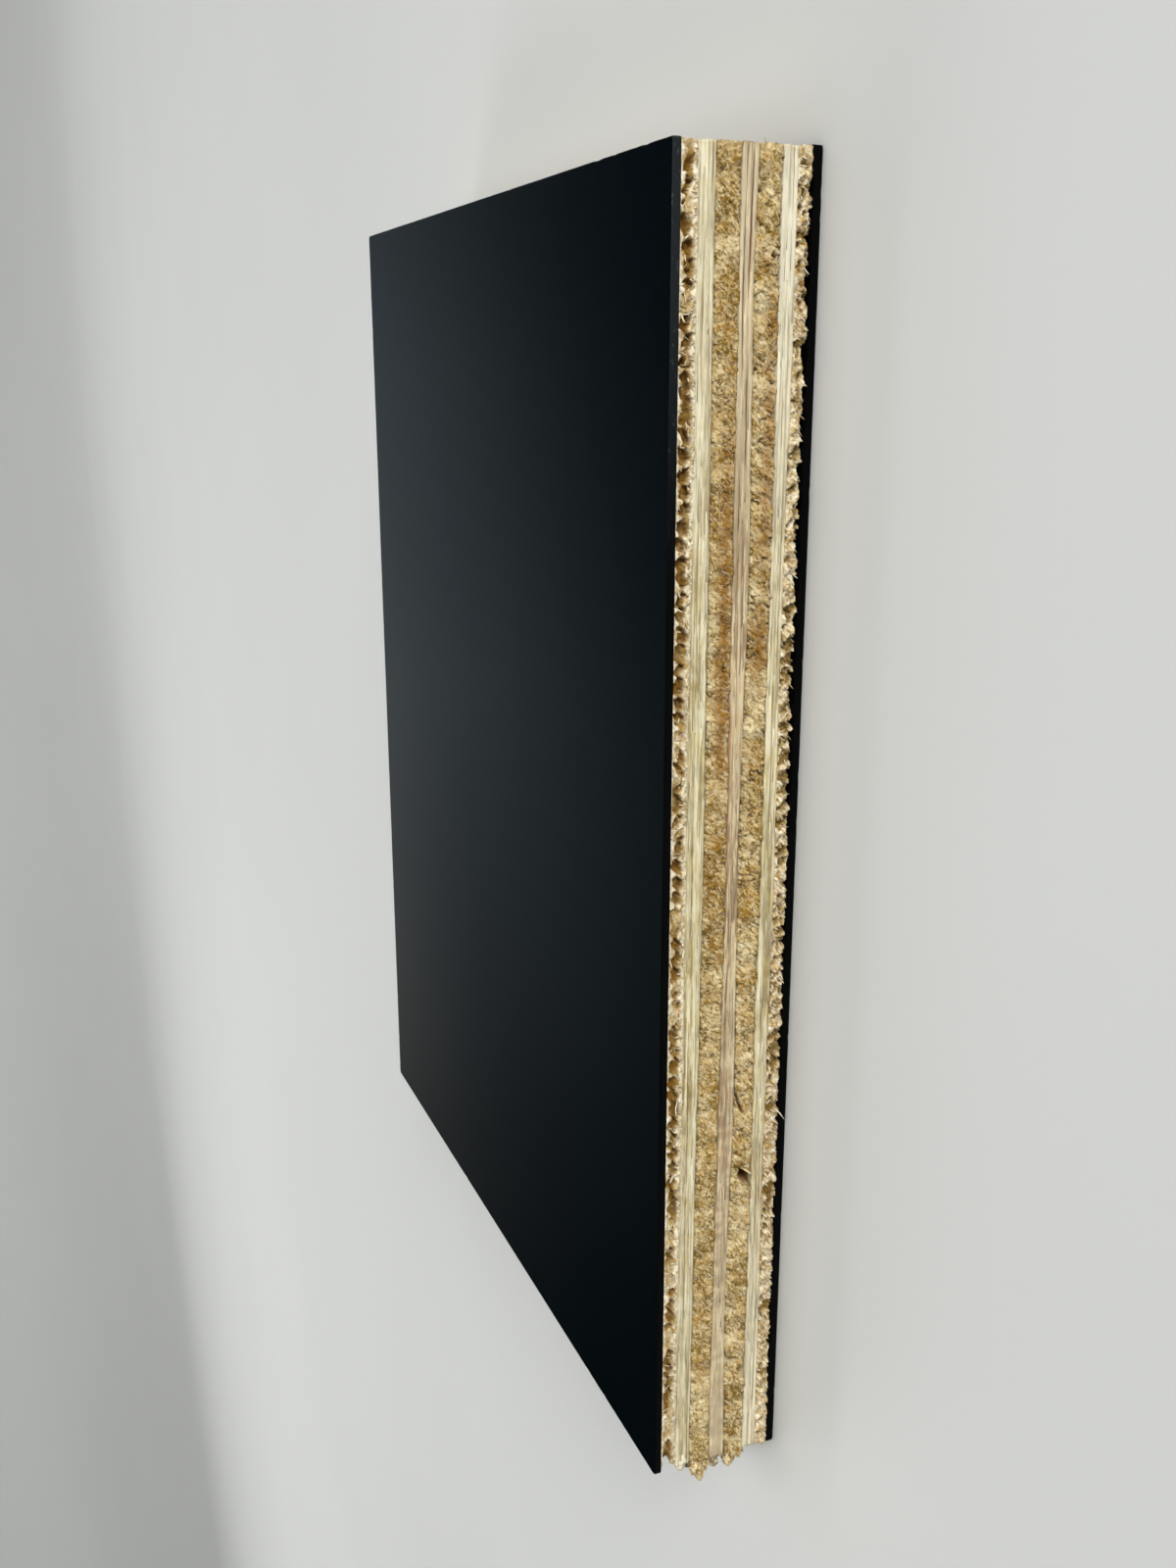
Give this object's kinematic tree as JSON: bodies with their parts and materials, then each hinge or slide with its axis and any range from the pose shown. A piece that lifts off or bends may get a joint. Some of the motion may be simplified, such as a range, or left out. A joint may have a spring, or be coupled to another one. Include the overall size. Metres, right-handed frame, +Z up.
{
  "type": "laminated plywood sheet",
  "caption": "Small cut sheet of thick plywood with a matt black laminate on both faces; the sawn edges show crossed veneers torn back between the two clean laminates.",
  "frame": {"origin": "middle of the lower laminate's outer face, on which the sheet lies", "axes": "+Z up through the sheet's thickness; X along its longer side; Y across it, with the edge of torn end grain in the picture facing -Y"},
  "size_m": [0.1683, 0.128, 0.018],
  "materials": {
    "black_laminate": "matt black high-pressure laminate with a fine even texture",
    "cross_veneer_wood": "raw, end grain torn by the saw on the long edges",
    "long_veneer_wood": "raw, smooth along the grain",
    "middle_veneer_wood": "raw, smooth along the grain, slightly pink"
  },
  "bodies": {
    "root": {"laminate_top": "black_laminate", "cross_veneer_1": "cross_veneer_wood", "long_veneer_2": "long_veneer_wood", "cross_veneer_3": "cross_veneer_wood", "long_veneer_4": "middle_veneer_wood", "cross_veneer_5": "cross_veneer_wood", "long_veneer_6": "long_veneer_wood", "cross_veneer_7": "cross_veneer_wood", "laminate_bottom": "black_laminate"}
  },
  "joints": []
}
